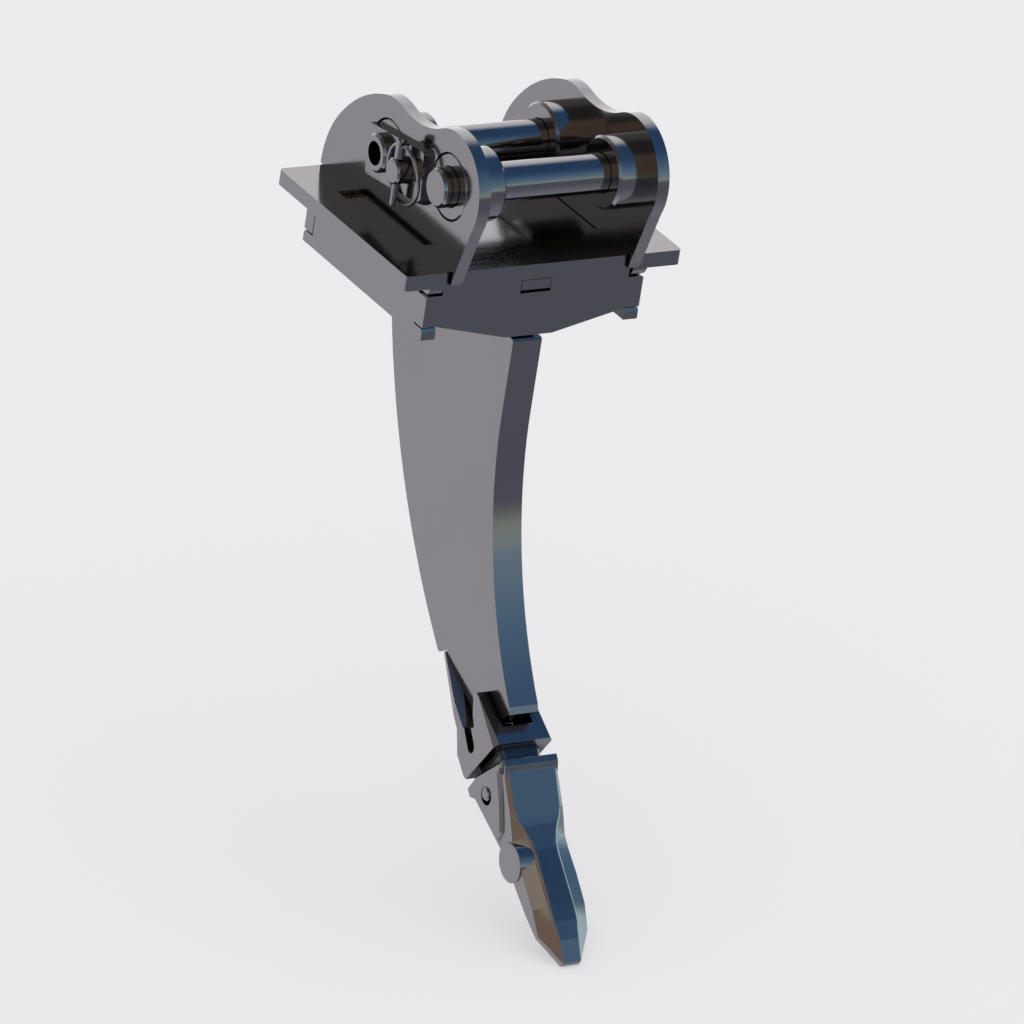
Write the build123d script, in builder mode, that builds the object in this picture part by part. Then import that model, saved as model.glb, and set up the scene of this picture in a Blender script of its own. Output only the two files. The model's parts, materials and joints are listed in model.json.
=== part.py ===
from build123d import *
import math
import os

os.makedirs("parts", exist_ok=True)

# Ripper shank tooth for the quick coupler of a small excavator.
# Millimetres, +Z up, +X to the right hand, the tooth points forward along -Y.
# The origin lies on the front pin's axis, half way between the two ears.

# Pins that the coupler grips
PIN_D = 30
PIN_CHAMFER = 2
PIN_END = 93
PIN_PITCH_Y = 89.4
PIN_DROP = 11.3
END_BORE_D = 18.5
END_BORE_DEPTH = 30

# Plates of the welded box
DECK_W = 236
DECK_L = 197
DECK_T = 12
EAR_T = 10
SIDE_T = 12
END_T = 12
SHANK_T = 25
EAR_FACE = 81.25
PLATE_CLEAR = 0.5

# Where the deck lies, seen from the front pin
DECK_Y = -19
DECK_Z = -60.4

# Bosses round the pins
BOSS_D = 55.5
SPIGOT_D = 51.4
BOSS_BORE = 31.4
BOSS_INNER = 48.2
BOSS_CHAMFER = 2

# Pin keepers
KEEPER_T = 5
KEEPER_W = 40
KEEPER_TAIL = 23
KEEPER_REACH = 59
KEEPER_SHIFT = -2.5
STUD_D = 20
STUD_X = 35
STUD_Y = -3
STUD_END = 98
STUD_CLEAR = 0.5
LINCH_D = 5.5
LINCH_HEAD_D = 8
LINCH_TOP = 26
LINCH_HEAD = 17
LINCH_LOW = 28
LINCH_CLEAR = 0.4
LINCH_INSET = 5
RING_R = 22.8
RING_WIRE = 3
RING_FORWARD = 5
RING_TILT = 5.6

# Adapter and tooth
ADAPTER_HALF = 25.5
NOSE_HALF = 18
NOSE_LENGTH = 50
NOSE_CLEAR = 0.5
TOOTH_HALF = ADAPTER_HALF - 2.5
TOOTH_PIN_D = 10.5
TOOTH_HOLE_D = 14.5
TOOTH_PIN_END = ADAPTER_HALF + 1.5
TOOTH_PIN_AT = (-71, -402)
TOOTH_HOLE_AT = (-70.7, -403.9)
KNOB_R = 15.4
KNOB_HALF = ADAPTER_HALF - 1.5
KNOB_AT = (-113.7, -438.4)

# Working planes whose zero is the middle of the deck's front top edge
SIDE = Plane(origin=(0, DECK_Y, DECK_Z), x_dir=(0, 1, 0), z_dir=(1, 0, 0))
FRONT = Plane(origin=(0, DECK_Y, DECK_Z), x_dir=(1, 0, 0), z_dir=(0, -1, 0))
TOP = Plane(origin=(0, DECK_Y, DECK_Z))

# Pin axes on the side plane
FRONT_PIN = (-DECK_Y, -DECK_Z)
REAR_PIN = (-DECK_Y + PIN_PITCH_Y, -DECK_Z - PIN_DROP)
EAR_MID = EAR_FACE - EAR_T / 2
SIDE_FACE = EAR_FACE + SIDE_T

# Deck: one plate with two notches for the ears' feet and three tab slots
SLOT_FRONT = 48
SLOT_BACK = 150
NOTCH_W = EAR_T + 4
NOTCH_DEPTH = 2
with BuildPart() as top_plate:
    with BuildSketch(TOP.offset(-DECK_T)):
        with Locations((0, DECK_L / 2)):
            Rectangle(DECK_W, DECK_L)
        with Locations((EAR_MID, NOTCH_DEPTH / 2), (-EAR_MID, NOTCH_DEPTH / 2)):
            Rectangle(NOTCH_W, NOTCH_DEPTH, mode=Mode.SUBTRACT)
        with Locations((0, (SLOT_FRONT + SLOT_BACK) / 2)):
            Rectangle(SHANK_T + 2 * PLATE_CLEAR, SLOT_BACK - SLOT_FRONT, mode=Mode.SUBTRACT)
        with Locations(
            (EAR_FACE + 1, (SLOT_FRONT + SLOT_BACK) / 2), (-EAR_FACE - 1, (SLOT_FRONT + SLOT_BACK) / 2)
        ):
            Rectangle(EAR_T + SIDE_T + 2, SLOT_BACK - SLOT_FRONT, mode=Mode.SUBTRACT)
    extrude(amount=DECK_T)
    rims = top_plate.edges().filter_by(Axis.Z)
    fillet(rims.group_by(Axis.X)[0] + rims.group_by(Axis.X)[-1], radius=3)
top_plate.part.label = "top_plate"
export_step(top_plate.part, "parts/top_plate.step")

# Outline that the box's front and back plates share
BOX_TOP = -DECK_T
CORNER_CUT = -22.4
CORNER_CLEAR = 1.3
END_SIDE_LOW = -47.4
END_LOW = -62
END_FLAT = 82
END_LOW_HALF = 20.2
WINDOW_TOP = -16.2
WINDOW_LOW = -27
with BuildSketch() as end_outline:
    with BuildLine():
        Polyline(
            (0, BOX_TOP), (EAR_FACE - CORNER_CLEAR, BOX_TOP), (EAR_FACE - CORNER_CLEAR, CORNER_CUT),
            (SIDE_FACE - 1.9, CORNER_CUT), (SIDE_FACE, CORNER_CUT - 0.9), (SIDE_FACE, END_SIDE_LOW),
            (END_FLAT, END_SIDE_LOW), (END_LOW_HALF, END_LOW), (0, END_LOW),
        )
        mirror(about=Plane.YZ)
    make_face()
    with Locations((0, (WINDOW_TOP + WINDOW_LOW) / 2)):
        Rectangle(SHANK_T + 2 * PLATE_CLEAR, WINDOW_TOP - WINDOW_LOW, mode=Mode.SUBTRACT)

BOX_FRONT = 8
BOX_BACK = DECK_L - 7
with BuildPart() as front_plate:
    with BuildSketch(FRONT.offset(-BOX_FRONT - END_T)):
        add(end_outline.sketch)
    extrude(amount=END_T)
front_plate.part.label = "front_plate"
export_step(front_plate.part, "parts/front_plate.step")

with BuildPart() as back_plate:
    with BuildSketch(FRONT.offset(-BOX_BACK)):
        add(end_outline.sketch)
    extrude(amount=END_T)
back_plate.part.label = "back_plate"
export_step(back_plate.part, "parts/back_plate.step")

# Side plates: tabs reach through the deck's slots and over and under the end plates' corners
TAB_SUNK = -3.4
TAB_GAP = 1
UPPER_TAB_LOW = -21.2
UPPER_TAB_OUT = 2.6
LOWER_TAB_TOP = -48.7
BACK_SEAM = 1
SIDE_LOW = -57.5
with BuildPart() as right_side_plate:
    with BuildSketch(SIDE.offset(EAR_FACE)):
        with BuildLine():
            Polyline(
                (BOX_FRONT - UPPER_TAB_OUT, BOX_TOP), (SLOT_FRONT + TAB_GAP, BOX_TOP),
                (SLOT_FRONT + TAB_GAP, TAB_SUNK), (SLOT_BACK - TAB_GAP, TAB_SUNK),
                (SLOT_BACK - TAB_GAP, BOX_TOP), (BOX_BACK + UPPER_TAB_OUT, BOX_TOP),
                (BOX_BACK + UPPER_TAB_OUT, UPPER_TAB_LOW + 5.2), (BOX_BACK, UPPER_TAB_LOW + 1.2),
                (BOX_BACK - 1.5, UPPER_TAB_LOW), (BOX_BACK - END_T - BACK_SEAM, UPPER_TAB_LOW),
                (BOX_BACK - END_T - BACK_SEAM, LOWER_TAB_TOP), (BOX_BACK - 1.3, LOWER_TAB_TOP),
                (BOX_BACK, LOWER_TAB_TOP - 2.3), (BOX_BACK, SIDE_LOW), (BOX_FRONT, SIDE_LOW),
                (BOX_FRONT, LOWER_TAB_TOP - 2.3), (BOX_FRONT + 1.3, LOWER_TAB_TOP),
                (BOX_FRONT + END_T, LOWER_TAB_TOP), (BOX_FRONT + END_T, UPPER_TAB_LOW),
                (BOX_FRONT + 1.5, UPPER_TAB_LOW), (BOX_FRONT, UPPER_TAB_LOW + 1.2),
                (BOX_FRONT - UPPER_TAB_OUT, UPPER_TAB_LOW + 5.2), close=True,
            )
        make_face()
    extrude(amount=SIDE_T)
    with BuildSketch(FRONT.offset(-BOX_FRONT - END_T)):
        with BuildLine():
            Polyline(
                (SIDE_FACE, UPPER_TAB_LOW + 1.2), (SIDE_FACE + 2, UPPER_TAB_LOW), (SIDE_FACE, UPPER_TAB_LOW - 1),
                (SIDE_FACE - 2.2, UPPER_TAB_LOW), close=True,
            )
        make_face()
    extrude(amount=END_T + UPPER_TAB_OUT + 1, mode=Mode.SUBTRACT)
right_side_plate.part.label = "right_side_plate"
export_step(right_side_plate.part, "parts/right_side_plate.step")

with BuildPart() as left_side_plate:
    mirror(right_side_plate.part, about=Plane.YZ)
left_side_plate.part.label = "left_side_plate"
export_step(left_side_plate.part, "parts/left_side_plate.step")

# Ears: two round lobes about the pins, a hollow saddle between them and a sloping tail
LOBE_R = 43
TAIL_R = 42.5
FOOT_OUT = -2.5
FOOT_LOW = -9.5
EAR_TAB_LOW = -45
with BuildPart() as right_ear:
    with BuildSketch(SIDE.offset(EAR_FACE - EAR_T)):
        with BuildLine():
            Line((FOOT_OUT, FOOT_LOW), (FOOT_OUT - 0.8, -6))
            Line((FOOT_OUT - 0.8, -6), (-18.97, 40.2))
            ThreePointArc((-18.97, 40.2), (-11.4, 90.8), (39.9, 98))
            ThreePointArc((39.9, 98), (78.7, 88), (98.1, 90.35))
            ThreePointArc((98.1, 90.35), (109, 91.6), (120.1, 90))
            ThreePointArc((120.1, 90), (153.6, 74.6), (181, 50))
            ThreePointArc((181, 50), (194.8, 27.3), (199.9, 1.3))
            Polyline(
                (199.9, 1.3), (DECK_L, 0), (SLOT_BACK - TAB_GAP, 0), (SLOT_BACK - TAB_GAP, EAR_TAB_LOW),
                (SLOT_FRONT + TAB_GAP, EAR_TAB_LOW), (SLOT_FRONT + TAB_GAP, 0),
                (NOTCH_DEPTH - 0.3, 0), (NOTCH_DEPTH - 0.3, FOOT_LOW), (FOOT_OUT, FOOT_LOW),
            )
        make_face()
        with Locations(FRONT_PIN, REAR_PIN):
            Circle(SPIGOT_D / 2, mode=Mode.SUBTRACT)
    extrude(amount=EAR_T)
right_ear.part.label = "right_ear"
export_step(right_ear.part, "parts/right_ear.step")

with BuildPart() as left_ear:
    mirror(right_ear.part, about=Plane.YZ)
left_ear.part.label = "left_ear"
export_step(left_ear.part, "parts/left_ear.step")

# Bosses: a thick collar inside the ear and a thinner spigot flush with its outer face
with BuildPart() as front_right_boss:
    with BuildSketch(SIDE.offset(BOSS_INNER)):
        with Locations(FRONT_PIN):
            Circle(BOSS_D / 2)
    extrude(amount=EAR_FACE - EAR_T - BOSS_INNER)
    with BuildSketch(SIDE.offset(EAR_FACE - EAR_T)):
        with Locations(FRONT_PIN):
            Circle(SPIGOT_D / 2)
    extrude(amount=EAR_T)
    chamfer(front_right_boss.faces().sort_by(Axis.X)[0].edges(), length=BOSS_CHAMFER)
    chamfer(front_right_boss.faces().sort_by(Axis.X)[-1].edges(), length=BOSS_CHAMFER)
    with BuildSketch(SIDE.offset(BOSS_INNER)):
        with Locations(FRONT_PIN):
            Circle(BOSS_BORE / 2)
    extrude(amount=EAR_FACE, mode=Mode.SUBTRACT)
front_right_boss.part.label = "front_right_boss"
export_step(front_right_boss.part, "parts/front_right_boss.step")

with BuildPart() as front_left_boss:
    mirror(front_right_boss.part, about=Plane.YZ)
front_left_boss.part.label = "front_left_boss"
export_step(front_left_boss.part, "parts/front_left_boss.step")

with BuildPart() as rear_right_boss:
    add(front_right_boss.part.moved(Location((0, PIN_PITCH_Y, -PIN_DROP))))
rear_right_boss.part.label = "rear_right_boss"
export_step(rear_right_boss.part, "parts/rear_right_boss.step")

with BuildPart() as rear_left_boss:
    mirror(rear_right_boss.part, about=Plane.YZ)
rear_left_boss.part.label = "rear_left_boss"
export_step(rear_left_boss.part, "parts/rear_left_boss.step")

# Pins: plain round bars, bored at the end that carries the keeper plate
with BuildPart() as front_pin:
    with BuildSketch(SIDE.offset(-PIN_END)):
        with Locations(FRONT_PIN):
            Circle(PIN_D / 2)
    extrude(amount=2 * PIN_END)
    chamfer(front_pin.edges().filter_by(GeomType.CIRCLE), length=PIN_CHAMFER)
    with BuildSketch(SIDE.offset(PIN_END)):
        with Locations(FRONT_PIN):
            Circle(END_BORE_D / 2)
    extrude(amount=-END_BORE_DEPTH, mode=Mode.SUBTRACT)
front_pin.part.label = "front_pin"
export_step(front_pin.part, "parts/front_pin.step")

with BuildPart() as rear_pin:
    with BuildSketch(SIDE.offset(-PIN_END)):
        with Locations(REAR_PIN):
            Circle(PIN_D / 2)
    extrude(amount=2 * PIN_END)
    chamfer(rear_pin.edges().filter_by(GeomType.CIRCLE), length=PIN_CHAMFER)
    with BuildSketch(SIDE.offset(-PIN_END)):
        with Locations(REAR_PIN):
            Circle(END_BORE_D / 2)
    extrude(amount=END_BORE_DEPTH, mode=Mode.SUBTRACT)
rear_pin.part.label = "rear_pin"
export_step(rear_pin.part, "parts/rear_pin.step")

# Keeper planes: each starts on its own pin's axis and points to the other pin
SLOPE = math.atan2(PIN_DROP, PIN_PITCH_Y)
REAR_KEEP = Plane(
    origin=(-EAR_FACE, PIN_PITCH_Y, -PIN_DROP), x_dir=(0, -math.cos(SLOPE), math.sin(SLOPE)), z_dir=(-1, 0, 0)
)
FRONT_KEEP = Plane(origin=(EAR_FACE, 0, 0), x_dir=(0, math.cos(SLOPE), -math.sin(SLOPE)), z_dir=(1, 0, 0))

with BuildSketch() as keeper_outline:
    with Locations(((KEEPER_REACH - KEEPER_TAIL) / 2, KEEPER_SHIFT)):
        RectangleRounded(KEEPER_REACH + KEEPER_TAIL, KEEPER_W, radius=3)
    Circle(PIN_D / 2, mode=Mode.SUBTRACT)
    with Locations((STUD_X, STUD_Y)):
        Circle(STUD_D / 2 + STUD_CLEAR, mode=Mode.SUBTRACT)

with BuildPart() as rear_keeper:
    with BuildSketch(REAR_KEEP):
        add(keeper_outline.sketch)
    extrude(amount=KEEPER_T)
rear_keeper.part.label = "rear_keeper"
export_step(rear_keeper.part, "parts/rear_keeper.step")

with BuildPart() as front_keeper:
    with BuildSketch(FRONT_KEEP):
        add(keeper_outline.sketch)
    extrude(amount=KEEPER_T)
front_keeper.part.label = "front_keeper"
export_step(front_keeper.part, "parts/front_keeper.step")

# Studs: short round bars on the ears' outer faces, cross drilled for the linch pins
STUD_OUT = STUD_END - EAR_FACE
REAR_STUD = REAR_KEEP.from_local_coords(Vector(STUD_X, STUD_Y, STUD_OUT - LINCH_INSET))
FRONT_STUD = FRONT_KEEP.from_local_coords(Vector(STUD_X, STUD_Y, STUD_OUT - LINCH_INSET))
with BuildPart() as rear_stud:
    with BuildSketch(REAR_KEEP):
        with Locations((STUD_X, STUD_Y)):
            Circle(STUD_D / 2)
    extrude(amount=STUD_OUT)
    chamfer(rear_stud.faces().sort_by(Axis.X)[0].edges(), length=1.5)
    with Locations(REAR_STUD):
        Cylinder(LINCH_D / 2 + LINCH_CLEAR, STUD_D * 2, mode=Mode.SUBTRACT)
rear_stud.part.label = "rear_stud"
export_step(rear_stud.part, "parts/rear_stud.step")

with BuildPart() as front_stud:
    with BuildSketch(FRONT_KEEP):
        with Locations((STUD_X, STUD_Y)):
            Circle(STUD_D / 2)
    extrude(amount=STUD_OUT)
    chamfer(front_stud.faces().sort_by(Axis.X)[-1].edges(), length=1.5)
    with Locations(FRONT_STUD):
        Cylinder(LINCH_D / 2 + LINCH_CLEAR, STUD_D * 2, mode=Mode.SUBTRACT)
front_stud.part.label = "front_stud"
export_step(front_stud.part, "parts/front_stud.step")

# Linch pins: a thin shank with a thicker head, cross drilled for the ring
HEAD_DROP = 5
RING_DROP = math.sqrt(RING_R**2 - RING_FORWARD**2)
RING_LEAN = math.degrees(math.asin(RING_FORWARD / RING_R))
HEAD_LOW = LINCH_TOP - LINCH_HEAD + 1.5
with BuildPart() as rear_linch_pin:
    with BuildSketch(Plane(origin=REAR_STUD).offset(-LINCH_LOW)):
        Circle(LINCH_D / 2)
    extrude(amount=LINCH_LOW + HEAD_LOW)
    with BuildSketch(Plane(origin=REAR_STUD).offset(HEAD_LOW)):
        Circle(LINCH_HEAD_D / 2)
    extrude(amount=LINCH_TOP - HEAD_LOW)
    chamfer(rear_linch_pin.faces().sort_by(Axis.Z)[0].edges(), length=1)
    chamfer(rear_linch_pin.faces().sort_by(Axis.Z)[-1].edges(), length=1)
    with Locations(REAR_STUD + Vector(0, 0, LINCH_TOP - HEAD_DROP)):
        Cylinder(RING_WIRE / 2 + 0.7, 12, rotation=(90 - RING_LEAN, 0, 0), mode=Mode.SUBTRACT)
rear_linch_pin.part.label = "rear_linch_pin"
export_step(rear_linch_pin.part, "parts/rear_linch_pin.step")

with BuildPart() as front_linch_pin:
    with BuildSketch(Plane(origin=FRONT_STUD).offset(-LINCH_LOW)):
        Circle(LINCH_D / 2)
    extrude(amount=LINCH_LOW + HEAD_LOW)
    with BuildSketch(Plane(origin=FRONT_STUD).offset(HEAD_LOW)):
        Circle(LINCH_HEAD_D / 2)
    extrude(amount=LINCH_TOP - HEAD_LOW)
    chamfer(front_linch_pin.faces().sort_by(Axis.Z)[0].edges(), length=1)
    chamfer(front_linch_pin.faces().sort_by(Axis.Z)[-1].edges(), length=1)
    with Locations(FRONT_STUD + Vector(0, 0, LINCH_TOP - HEAD_DROP)):
        Cylinder(RING_WIRE / 2 + 0.7, 12, rotation=(90 + RING_LEAN, 0, 0), mode=Mode.SUBTRACT)
front_linch_pin.part.label = "front_linch_pin"
export_step(front_linch_pin.part, "parts/front_linch_pin.step")

# Rings: sprung wire hoops through the heads, resting behind the shanks' lower ends
with BuildPart() as rear_linch_ring:
    with Locations(Location(REAR_STUD + Vector(0, 0, LINCH_TOP - HEAD_DROP), (0, -RING_TILT, 0))):
        with Locations((0, -RING_FORWARD, -RING_DROP)):
            Torus(RING_R, RING_WIRE / 2, rotation=(0, 90, 0))
rear_linch_ring.part.label = "rear_linch_ring"
export_step(rear_linch_ring.part, "parts/rear_linch_ring.step")

with BuildPart() as front_linch_ring:
    with Locations(Location(FRONT_STUD + Vector(0, 0, LINCH_TOP - HEAD_DROP), (0, RING_TILT, 0))):
        with Locations((0, RING_FORWARD, -RING_DROP)):
            Torus(RING_R, RING_WIRE / 2, rotation=(0, 90, 0))
front_linch_ring.part.label = "front_linch_ring"
export_step(front_linch_ring.part, "parts/front_linch_ring.step")

# Shank: one thick plate from the deck to the adapter
STEP_Z = -65
FOOT_TOP = (-63.3, -334.8)
FOOT_EDGE = (-65.3, -340.2)
V_FRONT = (-37.3, -363.5)
V_BACK = (-23.2, -371.6)
LEG_TOP = (30.4, -332.6)
with BuildPart() as shank:
    with BuildSketch(SIDE.offset(-SHANK_T / 2)):
        with BuildLine():
            Polyline(
                (BOX_FRONT, STEP_Z - 1.5), (BOX_FRONT + 1.5, STEP_Z), (BOX_FRONT + END_T, STEP_Z),
                (BOX_FRONT + END_T, WINDOW_LOW + 2.5), (BOX_FRONT, WINDOW_LOW + 2.5),
                (BOX_FRONT, WINDOW_TOP - 0.4), (BOX_FRONT + END_T, WINDOW_TOP - 0.4), (BOX_FRONT + END_T, BOX_TOP),
                (SLOT_FRONT + TAB_GAP, BOX_TOP), (SLOT_FRONT + TAB_GAP, TAB_SUNK),
                (SLOT_BACK - TAB_GAP, TAB_SUNK), (SLOT_BACK - TAB_GAP, BOX_TOP), (BOX_BACK - END_T, BOX_TOP),
                (BOX_BACK - END_T, WINDOW_TOP - 0.4), (BOX_BACK, WINDOW_TOP - 0.4),
                (BOX_BACK, WINDOW_LOW + 2.5), (BOX_BACK - END_T, WINDOW_LOW + 2.5),
                (BOX_BACK - END_T, STEP_Z), (BOX_BACK - 1.5, STEP_Z), (BOX_BACK, STEP_Z - 1.5),
            )
            ThreePointArc((BOX_BACK, STEP_Z - 1.5), (186.9, -96), (177.4, -124.9))
            ThreePointArc((177.4, -124.9), (122.6, -242.5), (49.7, -334.9))
            Line((49.7, -334.9), (44.2, -340.3))
            Line((44.2, -340.3), (41.8, -340.3))
            Line((41.8, -340.3), LEG_TOP)
            Polyline(LEG_TOP, V_BACK, V_FRONT, FOOT_EDGE, FOOT_TOP)
            ThreePointArc(FOOT_TOP, (-11.8, -240), (BOX_FRONT, -127))
            Line((BOX_FRONT, -127), (BOX_FRONT, STEP_Z - 1.5))
        make_face()
    extrude(amount=SHANK_T)
shank.part.label = "shank"
export_step(shank.part, "parts/shank.step")

# Adapter: a forked shoe round the shank's wedge with a tapered nose for the tooth
END_ANGLE = 35.5
AXIS_Y = -math.cos(math.radians(END_ANGLE))
AXIS_Z = -math.sin(math.radians(END_ANGLE))
END = Plane(
    origin=(0, DECK_Y - 57.6, DECK_Z - 381), x_dir=(1, 0, 0), z_dir=(0, AXIS_Y, AXIS_Z)
)
END_FRONT = (-73, -359.4)
END_BACK = (-40, -405.7)
LEG_TAPER_FROM = -21.4
LEG_END_HALF = 11.7
LEG_BEVEL = Plane(origin=(SHANK_T / 2, DECK_Y + 31.4, DECK_Z - 336.4), z_dir=(0.42, -0.583, 1))
with BuildPart() as leg_bevel:
    with BuildSketch(SIDE.offset(SHANK_T / 2)):
        with BuildLine():
            Polyline((-22, -320), (-22, -380), (45, -380), (45, -320), close=True)
        make_face()
    extrude(amount=ADAPTER_HALF)
    split(bisect_by=LEG_BEVEL, keep=Keep.TOP)
    mirror(about=Plane.YZ)

with BuildPart() as adapter:
    with BuildSketch(SIDE.offset(-ADAPTER_HALF)):
        with BuildLine():
            Polyline(
                LEG_TOP, (35.3, -338.2), (-12.8, -376.6), (-21.2, -395), (-35.5, -404.8), END_BACK, END_FRONT,
                (-34.5, -338.3), (-31, -337.4), (-27, -341), (-32, -356), V_FRONT, V_BACK, close=True,
            )
        make_face()
        with Locations((-33.3, -374.2)):
            SlotCenterToCenter(13, 10.8, rotation=46, mode=Mode.SUBTRACT)
    extrude(amount=2 * ADAPTER_HALF)
    with BuildSketch(TOP.offset(-410)):
        with BuildLine():
            Polyline(
                (ADAPTER_HALF, LEG_TAPER_FROM), (ADAPTER_HALF + 5, LEG_TAPER_FROM), (ADAPTER_HALF + 5, 40),
                (LEG_END_HALF, 40), close=True,
            )
        make_face()
        mirror(about=Plane.YZ)
    extrude(amount=90, mode=Mode.SUBTRACT)
    with BuildSketch(SIDE.offset(-SHANK_T / 2 - PLATE_CLEAR)):
        with BuildLine():
            Polyline(
                (-24, -325), (-50, -322), (-66, -348), (-55.3, -356), (-38.2, -366.5), (-24, -366), close=True
            )
        make_face()
    extrude(amount=SHANK_T + 2 * PLATE_CLEAR, mode=Mode.SUBTRACT)
    add(leg_bevel.part, mode=Mode.SUBTRACT)
    for side in (1, -1):
        split(
            bisect_by=Plane(origin=(side * ADAPTER_HALF, DECK_Y - 57.6, DECK_Z - 381), z_dir=(side * 16, 1, 0.7)),
            keep=Keep.BOTTOM,
        )
        split(
            bisect_by=Plane(origin=(side * 22.2, DECK_Y - 73, DECK_Z - 359.4), z_dir=(side * 3.14, -1, 1.83)),
            keep=Keep.BOTTOM,
        )
    with BuildSketch(END.offset(-2)):
        with Locations((0, -2.8)):
            Rectangle(2 * NOSE_HALF, 38.4)
        chamfer(vertices(), length=3)
    with BuildSketch(END.offset(NOSE_LENGTH)):
        with Locations((0, -2)):
            Rectangle(24, 20)
        chamfer(vertices(), length=2)
    loft(ruled=True)
    with BuildSketch(SIDE.offset(-ADAPTER_HALF)):
        with Locations(TOOTH_PIN_AT):
            Circle(TOOTH_PIN_D / 2 + 0.25)
    extrude(amount=2 * ADAPTER_HALF, mode=Mode.SUBTRACT)
adapter.part.label = "adapter"
export_step(adapter.part, "parts/adapter.step")

# Tooth: socket, side bosses, faceted blade and the round cross knob
BLADE_ANGLE = 34.3
BLADE_ROOT = (-96.6, -434.9)
BLADE = Plane(
    origin=(0, DECK_Y + BLADE_ROOT[0], DECK_Z + BLADE_ROOT[1]),
    x_dir=(1, 0, 0),
    z_dir=(0, -math.cos(math.radians(BLADE_ANGLE)), -math.sin(math.radians(BLADE_ANGLE))),
)
RIM_FRONT = (-82.7, -367.9)
RIM_BACK = (-51, -397.5)

# The side bosses slope off towards the blade's front face
BOSS_SLOPE = Plane(origin=(ADAPTER_HALF, DECK_Y - 78.8, DECK_Z - 377.7), z_dir=(19.6, -10.3, 4.6))
with BuildPart() as boss_slope:
    with BuildSketch(SIDE.offset(TOOTH_HALF - 2)):
        with BuildLine():
            Polyline((-76, -376.5), (-92, -382), (-110, -430), (-96, -430), close=True)
        make_face()
    extrude(amount=ADAPTER_HALF)
    split(bisect_by=BOSS_SLOPE, keep=Keep.TOP)
    mirror(about=Plane.YZ)

with BuildPart() as side_boss:
    with BuildSketch(SIDE.offset(-ADAPTER_HALF)):
        with BuildLine():
            Polyline(
                (-81.7, -368.9), (-83.8, -374), (-84.4, -378.7), (-98, -421.5), (-94, -430), (-60, -416),
                (-53, -411), (-48.5, -402), (-52, -396.6), close=True,
            )
        make_face()
    extrude(amount=2 * ADAPTER_HALF)
    chamfer(side_boss.edges().group_by(Axis.X)[0] + side_boss.edges().group_by(Axis.X)[-1], length=1.8)
    add(boss_slope.part, mode=Mode.SUBTRACT)

# Each station: distance along the blade, half width, front half width, side height, front height
TIP_FROM = 77.7
TIP_DROP = 3
STATIONS = [
    (-40.6, 23, 20.4, 41.4, 43.3), (-13.6, 23, 19.3, 29.8, 31.7), (-8, 23, 16.2, 26.6, 29.3),
    (-2.7, 22.9, 13.3, 23.5, 27.3), (4.6, 22.9, 10.4, 18.8, 25.5), (15.8, 22.8, 8.3, 17, 22.8),
    (35.5, 22.8, 8.2, 15.5, 20.1), (59, 22.8, 8.9, 11.6, 16.6), (71.8, 22, 9.2, 6.4, 13.9),
    (77.7, 21.5, 8.8, 4, 12.1), (85.3, 17, 8, 3.5, 9.8), (101, 7.9, 7.6, 1.6, 2.2),
]
with BuildPart() as tooth:
    with BuildSketch(SIDE.offset(-TOOTH_HALF)):
        with BuildLine():
            Polyline(
                RIM_FRONT, (-86.4, -371.7), (-87.4, -376.2), BLADE_ROOT, (-53, -416), (-45.5, -418),
                (-41, -413.5), RIM_BACK, close=True,
            )
        make_face()
    extrude(amount=2 * TOOTH_HALF)
    for along, half, front_half, side_height, front_height in STATIONS:
        drop = max(0, along - TIP_FROM) * TIP_DROP / (STATIONS[-1][0] - TIP_FROM)
        with BuildSketch(BLADE.offset(along)):
            with BuildLine():
                Polyline(
                    (-half, -drop), (half, -drop), (half, side_height), (front_half, front_height),
                    (-front_half, front_height), (-half, side_height), close=True,
                )
            make_face()
    loft(ruled=True)
    add(side_boss.part)
    with BuildSketch(SIDE.offset(-KNOB_HALF)):
        with Locations(KNOB_AT):
            Circle(KNOB_R)
    extrude(amount=KNOB_HALF)
    with BuildSketch(END.offset(-6)):
        with Locations((0, -2.8)):
            Rectangle(2 * NOSE_HALF + 2 * NOSE_CLEAR + 1, 38.4 + 2 * NOSE_CLEAR + 2)
    with BuildSketch(END.offset(NOSE_LENGTH + 2)):
        with Locations((0, -2)):
            Rectangle(24 + 2 * NOSE_CLEAR, 20 + 2 * NOSE_CLEAR)
    loft(ruled=True, mode=Mode.SUBTRACT)
    with BuildSketch(SIDE.offset(-ADAPTER_HALF)):
        with Locations(TOOTH_HOLE_AT):
            Circle(TOOTH_HOLE_D / 2)
    extrude(amount=2 * ADAPTER_HALF, mode=Mode.SUBTRACT)
tooth.part.label = "tooth"
export_step(tooth.part, "parts/tooth.step")

# Tooth pin: a round bar through the socket's walls and the nose
with BuildPart() as tooth_pin:
    with BuildSketch(SIDE.offset(-TOOTH_PIN_END)):
        with Locations(TOOTH_PIN_AT):
            Circle(TOOTH_PIN_D / 2)
    extrude(amount=2 * TOOTH_PIN_END)
    chamfer(tooth_pin.edges().filter_by(GeomType.CIRCLE), length=1)
tooth_pin.part.label = "tooth_pin"
export_step(tooth_pin.part, "parts/tooth_pin.step")
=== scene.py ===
# %% [markdown]
# # A ripper shank tooth, finished in dark mirror-like steel
# A ripper is the single claw that a small excavator drags through hard ground. The CAD model already has
# every plate, pin and casting in its place, so this lesson is about light and finish: what dark blasted and
# polished steel mirrors, how its edges catch light, and how the camera looks down on it.

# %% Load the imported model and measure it
import json
import math
import bmesh
import bpy
from mathutils import Matrix, Vector


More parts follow.
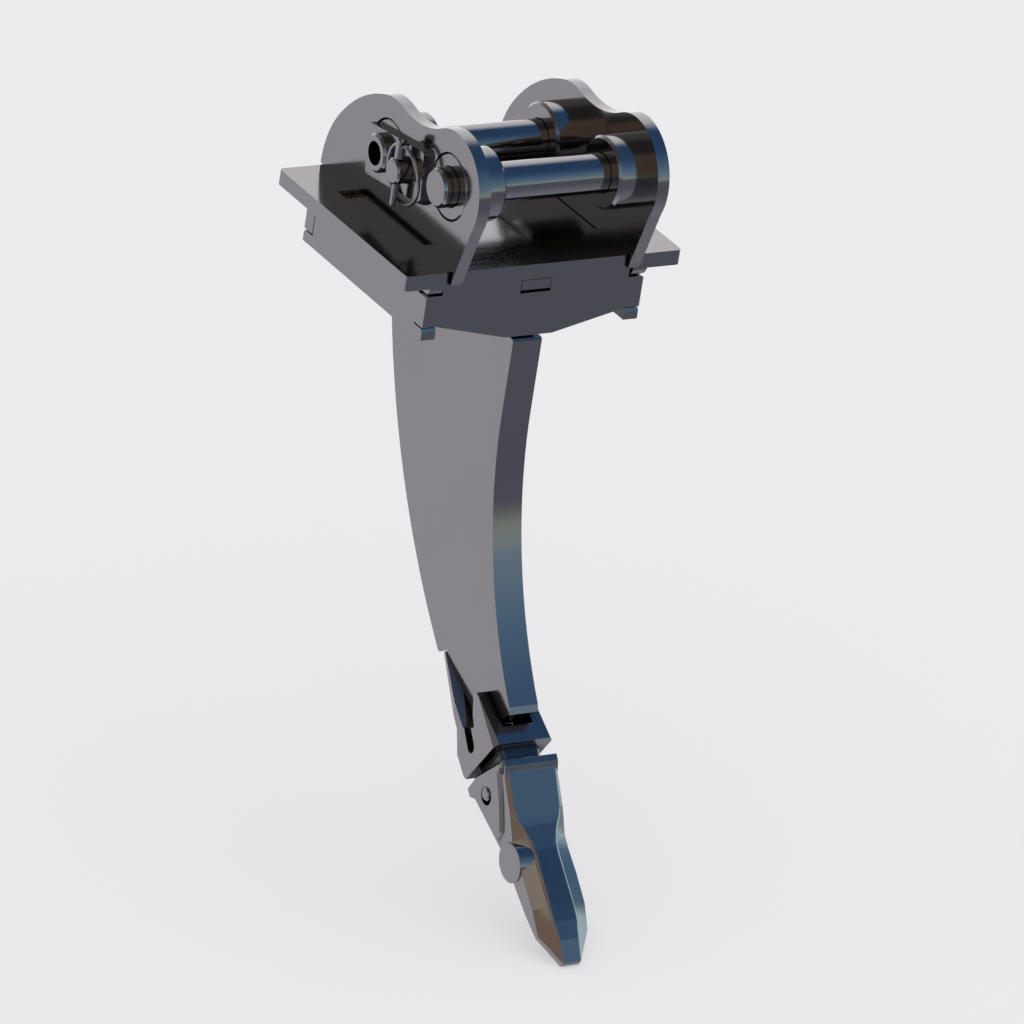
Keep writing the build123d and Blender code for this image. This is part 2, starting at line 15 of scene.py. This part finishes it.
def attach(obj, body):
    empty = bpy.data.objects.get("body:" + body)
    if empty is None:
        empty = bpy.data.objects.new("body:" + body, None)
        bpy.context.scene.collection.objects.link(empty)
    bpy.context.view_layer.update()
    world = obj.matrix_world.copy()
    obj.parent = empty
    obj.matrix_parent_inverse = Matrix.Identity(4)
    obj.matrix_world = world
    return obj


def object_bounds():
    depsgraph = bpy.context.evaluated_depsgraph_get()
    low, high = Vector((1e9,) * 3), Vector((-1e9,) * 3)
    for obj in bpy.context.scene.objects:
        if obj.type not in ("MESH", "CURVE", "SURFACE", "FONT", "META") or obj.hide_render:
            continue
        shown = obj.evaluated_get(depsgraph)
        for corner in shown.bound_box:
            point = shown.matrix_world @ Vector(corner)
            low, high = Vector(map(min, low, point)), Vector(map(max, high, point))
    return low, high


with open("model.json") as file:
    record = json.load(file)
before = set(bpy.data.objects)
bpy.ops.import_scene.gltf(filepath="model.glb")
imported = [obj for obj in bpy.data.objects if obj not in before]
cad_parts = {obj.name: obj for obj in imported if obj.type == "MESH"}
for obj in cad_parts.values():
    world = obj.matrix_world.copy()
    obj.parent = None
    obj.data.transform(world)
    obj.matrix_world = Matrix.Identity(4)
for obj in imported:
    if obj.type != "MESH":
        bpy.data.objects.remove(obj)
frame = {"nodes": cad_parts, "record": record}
cad_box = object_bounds()
pieces = frame["nodes"]
print("pieces:", len(pieces))
print("box, mm:", [round((h - l) * 1000) for l, h in zip(*cad_box)])

# %% [markdown]
# ## The camera
# The photograph was taken with a long lens from the front left, a little above the tooth, and the camera was
# tipped by nine degrees. A long lens keeps parallel edges nearly parallel. The camera is built from three
# angles, the point that it looks at, and its distance, so that each can be changed on its own.

# %% Place the camera
AZIMUTH = math.radians(-33.62)
ELEVATION = math.radians(24.84)
ROLL = math.radians(8.98)
DISTANCE = 6.422
AIM = Vector((0.00479, -0.019, -0.26497))
LENS = 302.8
SENSOR = 36.0

right = Vector((math.cos(AZIMUTH), math.sin(AZIMUTH), 0.0))
tilt = math.sin(ELEVATION)
up = Vector((-math.sin(AZIMUTH) * tilt, math.cos(AZIMUTH) * tilt, math.cos(ELEVATION)))
back = right.cross(up)
tipped_right = math.cos(ROLL) * right + math.sin(ROLL) * up
tipped_up = -math.sin(ROLL) * right + math.cos(ROLL) * up
camera_data = bpy.data.cameras.new("camera")
camera_data.lens = LENS
camera_data.sensor_width = SENSOR
camera_data.sensor_height = SENSOR
camera_data.sensor_fit = "HORIZONTAL"
camera_data.clip_end = 50.0
camera = bpy.data.objects.new("camera", camera_data)
turn = Matrix((tipped_right, tipped_up, back)).transposed().to_4x4()
camera.matrix_world = Matrix.Translation(AIM + DISTANCE * back) @ turn
bpy.context.scene.collection.objects.link(camera)
bpy.context.scene.camera = camera
print("camera at", [round(c, 3) for c in camera.matrix_world.translation])

# %% [markdown]
# ## The surroundings
# Polished dark steel has hardly any colour of its own: it shows what stands around it. Most of what this part
# mirrors is a blue sky over dim ground, so the world starts as one colour ramp that reads the height of the
# ray's direction. Building it in the world, not from real walls, keeps the walls out of the way of the camera.

# %% Paint the sky and the ground by height
world = bpy.data.worlds.new("yard")
bpy.context.scene.world = world
world.use_nodes = True
sky = world.node_tree
sky.nodes.clear()


def sky_node(kind, **settings):
    """One node of the surroundings, with its settings."""
    node = sky.nodes.new(kind)
    for key, value in settings.items():
        setattr(node, key, value)
    return node


direction = sky_node("ShaderNodeTexCoord").outputs["Generated"]
parts = sky_node("ShaderNodeSeparateXYZ")
sky.links.new(direction, parts.inputs[0])
height = sky_node("ShaderNodeMath", operation="MULTIPLY_ADD")
height.inputs[1].default_value = 0.5
height.inputs[2].default_value = 0.5
sky.links.new(parts.outputs["Z"], height.inputs[0])

# Each stop: sine of the height above the horizon, then the colour there.
STOPS = [
    (-0.87, (0.43, 0.43, 0.50)),
    (-0.60, (0.32, 0.32, 0.39)),
    (-0.42, (0.23, 0.23, 0.29)),
    (-0.06, (0.21, 0.22, 0.28)),
    (-0.01, (0.52, 0.56, 0.46)),
    (0.04, (0.62, 0.70, 0.66)),
    (0.12, (0.38, 0.52, 0.66)),
    (0.34, (0.22, 0.38, 0.58)),
    (0.55, (0.13, 0.26, 0.47)),
    (0.75, (0.06, 0.14, 0.31)),
    (1.00, (0.05, 0.12, 0.28)),
]
ladder = sky_node("ShaderNodeValToRGB")
while len(ladder.color_ramp.elements) < len(STOPS):
    ladder.color_ramp.elements.new(0.5)
for element, (sine, colour) in zip(ladder.color_ramp.elements, STOPS):
    element.position = 0.5 + 0.5 * sine
    element.color = (*colour, 1.0)
sky.links.new(height.outputs[0], ladder.inputs["Fac"])
print("sky ramp:", len(STOPS), "stops")

# %% [markdown]
# ## Walls round the yard
# Seven soft patches stand in front of that sky. A patch has a place on the compass, a height, and two angles:
# inside the first it is solid, and outside the second nothing of it is left. The dot product between the
# ray's direction and the patch's middle says how far off the ray is. The bright ground behind the part turns
# the left faces of the plates pale grey, and the tan wall at the front left colours the tooth's facets.

# %% Add the patches one over the other
PATCHES = [
    ("bright ground behind", 128.0, -36.0, 44.0, 66.0, (0.81, 0.77, 0.84)),
    ("grey wall at the left", 140.0, 20.0, 20.0, 42.0, (0.36, 0.32, 0.33)),
    ("white wall behind", 58.0, 12.0, 22.0, 52.0, (1.26, 1.23, 1.28)),
    ("open side at the right", 5.0, -3.0, 4.0, 26.0, (0.95, 1.22, 1.36)),
    ("dark wall high at the left", 178.0, 52.0, 16.0, 38.0, (0.13, 0.11, 0.11)),
    ("tan wall at the front left", -118.0, 34.0, 20.0, 40.0, (0.45, 0.31, 0.23)),
    ("cream light above it", -106.0, 60.0, 8.0, 24.0, (0.66, 0.54, 0.44)),
]
colour_so_far = ladder.outputs["Color"]
for name, compass, lift, solid, gone, colour in PATCHES:
    turn, rise = math.radians(compass), math.radians(lift)
    near = sky_node("ShaderNodeVectorMath", operation="DOT_PRODUCT", label=name)
    flat = math.cos(rise)
    near.inputs[1].default_value = (math.cos(turn) * flat, math.sin(turn) * flat, math.sin(rise))
    sky.links.new(direction, near.inputs[0])
    cover = sky_node("ShaderNodeMapRange", interpolation_type="SMOOTHSTEP")
    cover.inputs["From Min"].default_value = math.cos(math.radians(gone))
    cover.inputs["From Max"].default_value = math.cos(math.radians(solid))
    sky.links.new(near.outputs["Value"], cover.inputs["Value"])
    lay = sky_node("ShaderNodeMix", data_type="RGBA")
    lay.inputs[7].default_value = (*colour, 1.0)
    sky.links.new(cover.outputs["Result"], lay.inputs["Factor"])
    sky.links.new(colour_so_far, lay.inputs[6])
    colour_so_far = lay.outputs[2]
print("patches:", [patch[0] for patch in PATCHES])

# %% [markdown]
# ## An even dome for everything that doesn't mirror
# Steel reads the painted yard. The floor must not turn blue from it, so rays that don't come off a mirror
# meet an even pale dome of strength one instead. Under such a dome a matt colour looks as it is written.

# %% Join the yard and the dome
yard = sky_node("ShaderNodeBackground")
sky.links.new(colour_so_far, yard.inputs["Color"])
dome = sky_node("ShaderNodeBackground")
dome.inputs["Color"].default_value = (0.985, 0.985, 0.985, 1.0)
ray_kind = sky_node("ShaderNodeLightPath")
switch = sky_node("ShaderNodeMixShader")
sky.links.new(ray_kind.outputs["Is Glossy Ray"], switch.inputs[0])
sky.links.new(dome.outputs[0], switch.inputs[1])
sky.links.new(yard.outputs[0], switch.inputs[2])
out = sky_node("ShaderNodeOutputWorld")
sky.links.new(switch.outputs[0], out.inputs["Surface"])
print("surroundings:", len(sky.nodes), "nodes")

# %% [markdown]
# ## Floor and lamp
# The part stands on its tip on a wide pale floor. The dome lights it evenly, and one large weak lamp from
# above leaves a faint shadow. Half of the floor's brightness is its own towards the camera, which keeps the
# background even and the shadow soft. The floor and the lamp stay out of the mirror images, so that the
# steel shows only the yard.

# %% Lay the floor and hang the lamp
FLOOR = cad_box[0][2]
REACH = 14.0
FLOOR_COLOUR = (0.845, 0.835, 0.862)
GLOW_COLOUR = (0.832, 0.825, 0.850)
OWN_GLOW = 0.5
LAMP_PLACE = (-0.8, -1.0, 3.4)
LAMP_AIM = Vector((0.0, 0.0, -0.25))
corners = [(-REACH, -REACH, FLOOR), (REACH, -REACH, FLOOR), (REACH, REACH, FLOOR), (-REACH, REACH, FLOOR)]
floor_mesh = bpy.data.meshes.new("floor")
floor_mesh.from_pydata(corners, [], [(0, 1, 2, 3)])
floor = bpy.data.objects.new("floor", floor_mesh)
bpy.context.scene.collection.objects.link(floor)
floor.visible_glossy = False
floor_paint = bpy.data.materials.new("floor_paint")
floor_paint.use_nodes = True
floor_shader = floor_paint.node_tree.nodes["Principled BSDF"]
floor_shader.inputs["Base Color"].default_value = (*FLOOR_COLOUR, 1.0)
floor_shader.inputs["Roughness"].default_value = 1.0
floor_shader.inputs["Specular IOR Level"].default_value = 0.0
glow = floor_paint.node_tree.nodes.new("ShaderNodeEmission")
glow.inputs["Color"].default_value = (*GLOW_COLOUR, 1.0)
glow.inputs["Strength"].default_value = 1.0
seen = floor_paint.node_tree.nodes.new("ShaderNodeLightPath")
share = floor_paint.node_tree.nodes.new("ShaderNodeMath")
share.operation = "MULTIPLY"
share.inputs[1].default_value = OWN_GLOW
both = floor_paint.node_tree.nodes.new("ShaderNodeMixShader")
floor_out = floor_paint.node_tree.nodes["Material Output"]
floor_paint.node_tree.links.new(seen.outputs["Is Camera Ray"], share.inputs[0])
floor_paint.node_tree.links.new(share.outputs[0], both.inputs[0])
floor_paint.node_tree.links.new(floor_shader.outputs[0], both.inputs[1])
floor_paint.node_tree.links.new(glow.outputs[0], both.inputs[2])
floor_paint.node_tree.links.new(both.outputs[0], floor_out.inputs["Surface"])
floor_mesh.materials.append(floor_paint)

lamp_data = bpy.data.lights.new("soft_lamp", "AREA")
lamp_data.shape = "SQUARE"
lamp_data.size = 3.0
lamp_data.energy = 4.0
lamp = bpy.data.objects.new("soft_lamp", lamp_data)
lamp.location = LAMP_PLACE
lamp.rotation_euler = (LAMP_AIM - lamp.location).to_track_quat("-Z", "Y").to_euler()
lamp.visible_glossy = False
bpy.context.scene.collection.objects.link(lamp)
print("floor at", round(FLOOR * 1000), "mm")

# %% [markdown]
# ## Dark steel
# All pieces are equally dark steel, but each was made in its own way: the plates are rolled, the pins and
# bosses turned, the adapter and tooth cast. One function builds them all, because the things that differ are
# few: how sharply the steel mirrors, which way its fine marks run, and what shows at its edges and gaps. Marks
# are a noise texture squeezed along one direction. A Bevel node softens the edges of the castings, and an
# Ambient Occlusion node finds the narrow gaps and paints shade there: the steel's colour turns black where a
# wall is near.

# %% A function for dark steel
STEEL = (0.28, 0.28, 0.28)
# Near-black colour of the painted shade in narrow gaps.
GAP_SHADE_COLOUR = (0.015, 0.014, 0.014)
PATCHINESS = 0.025
GRAIN_SHARE = 0.35
MARK_HEIGHT = 0.00005


def dark_steel(name, shine, marks, mark_depth=0.03, edge=0.0, gap_shade_reach=0.0, gap_open=(0.50, 0.88)):
    """Steel with that finish. Shine is the lowest and highest roughness. Marks is how tightly the marks repeat
    on X, Y and Z, per metre. Gap_shade_reach is how near a wall has to be, in metres, for painted shade to
    darken the colour, and gap_open says how open a spot is where the painted shade begins and ends."""
    steel = bpy.data.materials.new(name)
    steel.use_nodes = True
    tree = steel.node_tree
    skin = tree.nodes["Principled BSDF"]
    skin.inputs["Metallic"].default_value = 1.0

    def add(kind, **settings):
        node = tree.nodes.new(kind)
        for key, value in settings.items():
            setattr(node, key, value)
        return node

    place = add("ShaderNodeTexCoord")

    def noise(repeat, detail, squeeze=(1.0, 1.0, 1.0)):
        stretch = add("ShaderNodeMapping")
        stretch.inputs["Scale"].default_value = squeeze
        tree.links.new(place.outputs["Object"], stretch.inputs["Vector"])
        cloud = add("ShaderNodeTexNoise")
        cloud.inputs["Scale"].default_value = repeat
        cloud.inputs["Detail"].default_value = detail
        tree.links.new(stretch.outputs[0], cloud.inputs["Vector"])
        return cloud.outputs["Fac"]

    broad = noise(repeat=9.0, detail=3.0)
    streaks = noise(repeat=1.0, detail=4.0, squeeze=marks)
    fine = noise(repeat=900.0, detail=2.0)

    tone = add("ShaderNodeMix", data_type="RGBA")
    tone.inputs[6].default_value = (*[c * (1.0 - PATCHINESS) for c in STEEL], 1.0)
    tone.inputs[7].default_value = (*[c * (1.0 + PATCHINESS) for c in STEEL], 1.0)
    tree.links.new(broad, tone.inputs["Factor"])
    coloured = tone.outputs[2]
    # Painted shade: Ambient Occlusion finds narrow gaps and the colour is darkened to near black there.
    if gap_shade_reach > 0.0:
        nearby = add("ShaderNodeAmbientOcclusion", samples=8)
        nearby.inputs["Distance"].default_value = gap_shade_reach
        openness = add("ShaderNodeMapRange", interpolation_type="SMOOTHSTEP")
        openness.inputs["From Min"].default_value = gap_open[0]
        openness.inputs["From Max"].default_value = gap_open[1]
        tree.links.new(nearby.outputs["AO"], openness.inputs["Value"])
        painted_gap_shade = add("ShaderNodeMix", data_type="RGBA")
        painted_gap_shade.inputs[6].default_value = (*GAP_SHADE_COLOUR, 1.0)
        tree.links.new(openness.outputs["Result"], painted_gap_shade.inputs["Factor"])
        tree.links.new(coloured, painted_gap_shade.inputs[7])
        coloured = painted_gap_shade.outputs[2]
    tree.links.new(coloured, skin.inputs["Base Color"])

    # The noise seldom leaves 0.3 to 0.7, so that span is stretched over the whole range of shine.
    haze = add("ShaderNodeMapRange")
    haze.inputs["From Min"].default_value = 0.3
    haze.inputs["From Max"].default_value = 0.7
    haze.inputs["To Min"].default_value = shine[0]
    haze.inputs["To Max"].default_value = shine[1]
    tree.links.new(streaks, haze.inputs["Value"])
    tree.links.new(haze.outputs["Result"], skin.inputs["Roughness"])

    both = add("ShaderNodeMath", operation="MULTIPLY_ADD")
    both.inputs[1].default_value = GRAIN_SHARE
    tree.links.new(fine, both.inputs[0])
    tree.links.new(streaks, both.inputs[2])
    relief = add("ShaderNodeBump")
    relief.inputs["Strength"].default_value = mark_depth
    relief.inputs["Distance"].default_value = MARK_HEIGHT
    tree.links.new(both.outputs[0], relief.inputs["Height"])
    if edge > 0.0:
        soft_edge = add("ShaderNodeBevel", samples=6)
        soft_edge.inputs["Radius"].default_value = edge
        tree.links.new(soft_edge.outputs[0], relief.inputs["Normal"])
    tree.links.new(relief.outputs[0], skin.inputs["Normal"])
    return steel


# The gap colour printed here is painted shade.
print("steel:", STEEL, "painted shade in the gaps:", GAP_SHADE_COLOUR)

# %% [markdown]
# ## Rolled plate, turned bar, castings
# Rolled plate carries faint marks along the way that it went through the rolls. Turned pins have rings round
# their axis, so their marks repeat quickly along X. A casting has no direction, only a fine even grain.

# %% Give each piece its steel
# The plates get painted shade in their narrow gaps: their colour is darkened there.
PLATE_GAP_SHADE = {"gap_shade_reach": 0.006, "gap_open": (0.15, 0.45)}
CASTING = {"marks": (120.0, 120.0, 120.0), "mark_depth": 0.06}
finishes = {
    "plate_steel": dark_steel("rolled_plate_steel", (0.11, 0.15), (30.0, 300.0, 40.0), **PLATE_GAP_SHADE),
    "shank_steel": dark_steel("shank_plate_steel", (0.11, 0.15), (60.0, 300.0, 14.0), **PLATE_GAP_SHADE),
    "boss_steel": dark_steel("turned_boss_steel", (0.10, 0.14), (900.0, 20.0, 20.0)),
    "pin_steel": dark_steel("ground_pin_steel", (0.08, 0.12), (1200.0, 15.0, 15.0)),
    "spring_wire": dark_steel("drawn_wire_steel", (0.12, 0.18), (200.0, 200.0, 200.0)),
    # The adapter's colour is darkened in its gaps as painted shade.
    "cast_steel": dark_steel("cast_adapter_steel", (0.11, 0.16), edge=0.0008, gap_shade_reach=0.011, **CASTING),
    "tooth_steel": dark_steel("cast_tooth_steel", (0.10, 0.15), edge=0.0008, **CASTING),
}
slot_of = {entry["node"]: entry["material_slot"] for entry in frame["record"]["subparts"]}
for node_name, piece in pieces.items():
    for spot in piece.material_slots:
        spot.material = finishes[slot_of[node_name]]
print("finishes:", sorted(set(slot_of.values())))

# %% [markdown]
# ## Chamfered rims beside the blade's panel
# The front of the cast blade is a narrow panel between two sloping sides. The corner between them is softened,
# and catches a thin line of light on the right and a tan one on the left. A rim here is one profile, given as
# steps outward and steps up from the panel's edge: a flat that widens the panel a little, then a chamfer. It is
# carried along a smoothed path and shrinks at both ends, and its lower half lies inside the blade. Its steel is
# the tooth's without the Bevel node, which on a strip this narrow turned the line of light brown.

# %% Build the rims
RIM_PATH = [
    (19.6, -120.9, -459.9), (16.2, -125.5, -466.6), (13.3, -128.8, -471.2),
    (10.4, -133.8, -476.8), (8.3, -141.5, -485.4), (8.2, -156.2, -498.7),
    (8.9, -173.7, -514.8), (9.2, -182.7, -524.3), (8.9, -186.0, -528.4),
]
RIM_PROFILE = [
    (-0.6, -0.6), (-0.55, 0.005), (-0.45, 0.01), (1.35, 0.02), (1.45, 0.015), (1.7, -0.07), (2.0, -0.23),
    (2.8, -0.75), (3.6, -1.27), (3.7, -1.6), (2.6, -2.3), (-0.6, -2.0),
]


def smooth_path(points, steps=6):
    """More points between those given, on a curve that passes through them all."""
    path = []
    for i in range(len(points) - 1):
        here, there = points[i], points[i + 1]
        before, after = points[max(i - 1, 0)], points[min(i + 2, len(points) - 1)]
        bend = 2 * before - 5 * here + 4 * there - after
        twist = 3 * here - before - 3 * there + after
        for step in range(steps):
            t = step / steps
            path.append(0.5 * (2 * here + (there - before) * t + bend * t * t + twist * t ** 3))
    return path + [points[-1]]


def rim(name, side):
    """One rim on that side of the panel; side is 1 for the right and -1 for the left."""
    path = smooth_path([Vector((side * x, y, z)) / 1000 for x, y, z in RIM_PATH])
    mesh_code = bmesh.new()
    rings = []
    for i, spot in enumerate(path):
        along = (path[min(i + 1, len(path) - 1)] - path[max(i - 1, 0)]).normalized()
        up = Vector((1.0, 0.0, 0.0)).cross(along).normalized()
        up = up if up.z > 0 else -up
        outward = Vector((side, 0.0, 0.0)) - along * (side * along.x)
        outward.normalize()
        # Three tenths of its size at the top, full from a seventh of the way, down to a tenth at the tip.
        share = i / (len(path) - 1)
        size = min(1.0, 0.3 + 5.0 * share, 0.1 + 2.2 * (1.0 - share)) / 1000
        rings.append([mesh_code.verts.new(spot + size * (step_out * outward + step_up * up))
                      for step_out, step_up in RIM_PROFILE])
    count = len(RIM_PROFILE)
    for first, second in zip(rings, rings[1:]):
        for k in range(count):
            mesh_code.faces.new((first[k], first[(k + 1) % count], second[(k + 1) % count], second[k]))
    mesh_code.faces.new(rings[0][::-1])
    mesh_code.faces.new(rings[-1])
    bmesh.ops.recalc_face_normals(mesh_code, faces=mesh_code.faces[:])
    for face in mesh_code.faces:
        face.smooth = True
    mesh = bpy.data.meshes.new(name)
    mesh_code.to_mesh(mesh)
    mesh_code.free()
    mesh.materials.append(rim_steel)
    piece = bpy.data.objects.new(name, mesh)
    bpy.context.scene.collection.objects.link(piece)
    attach(piece, "root")
    return piece


rim_steel = dark_steel("cast_rim_steel", (0.10, 0.15), **CASTING)
rims = [rim("blade_rim_right", 1), rim("blade_rim_left", -1)]
print("rims:", [len(piece.data.polygons) for piece in rims])

# %% [markdown]
# ## Colour handling
# The Standard view transform shows a colour as it is written, so the pale floor stays pale.

# %% Set the view transform
bpy.context.scene.view_settings.view_transform = "Standard"
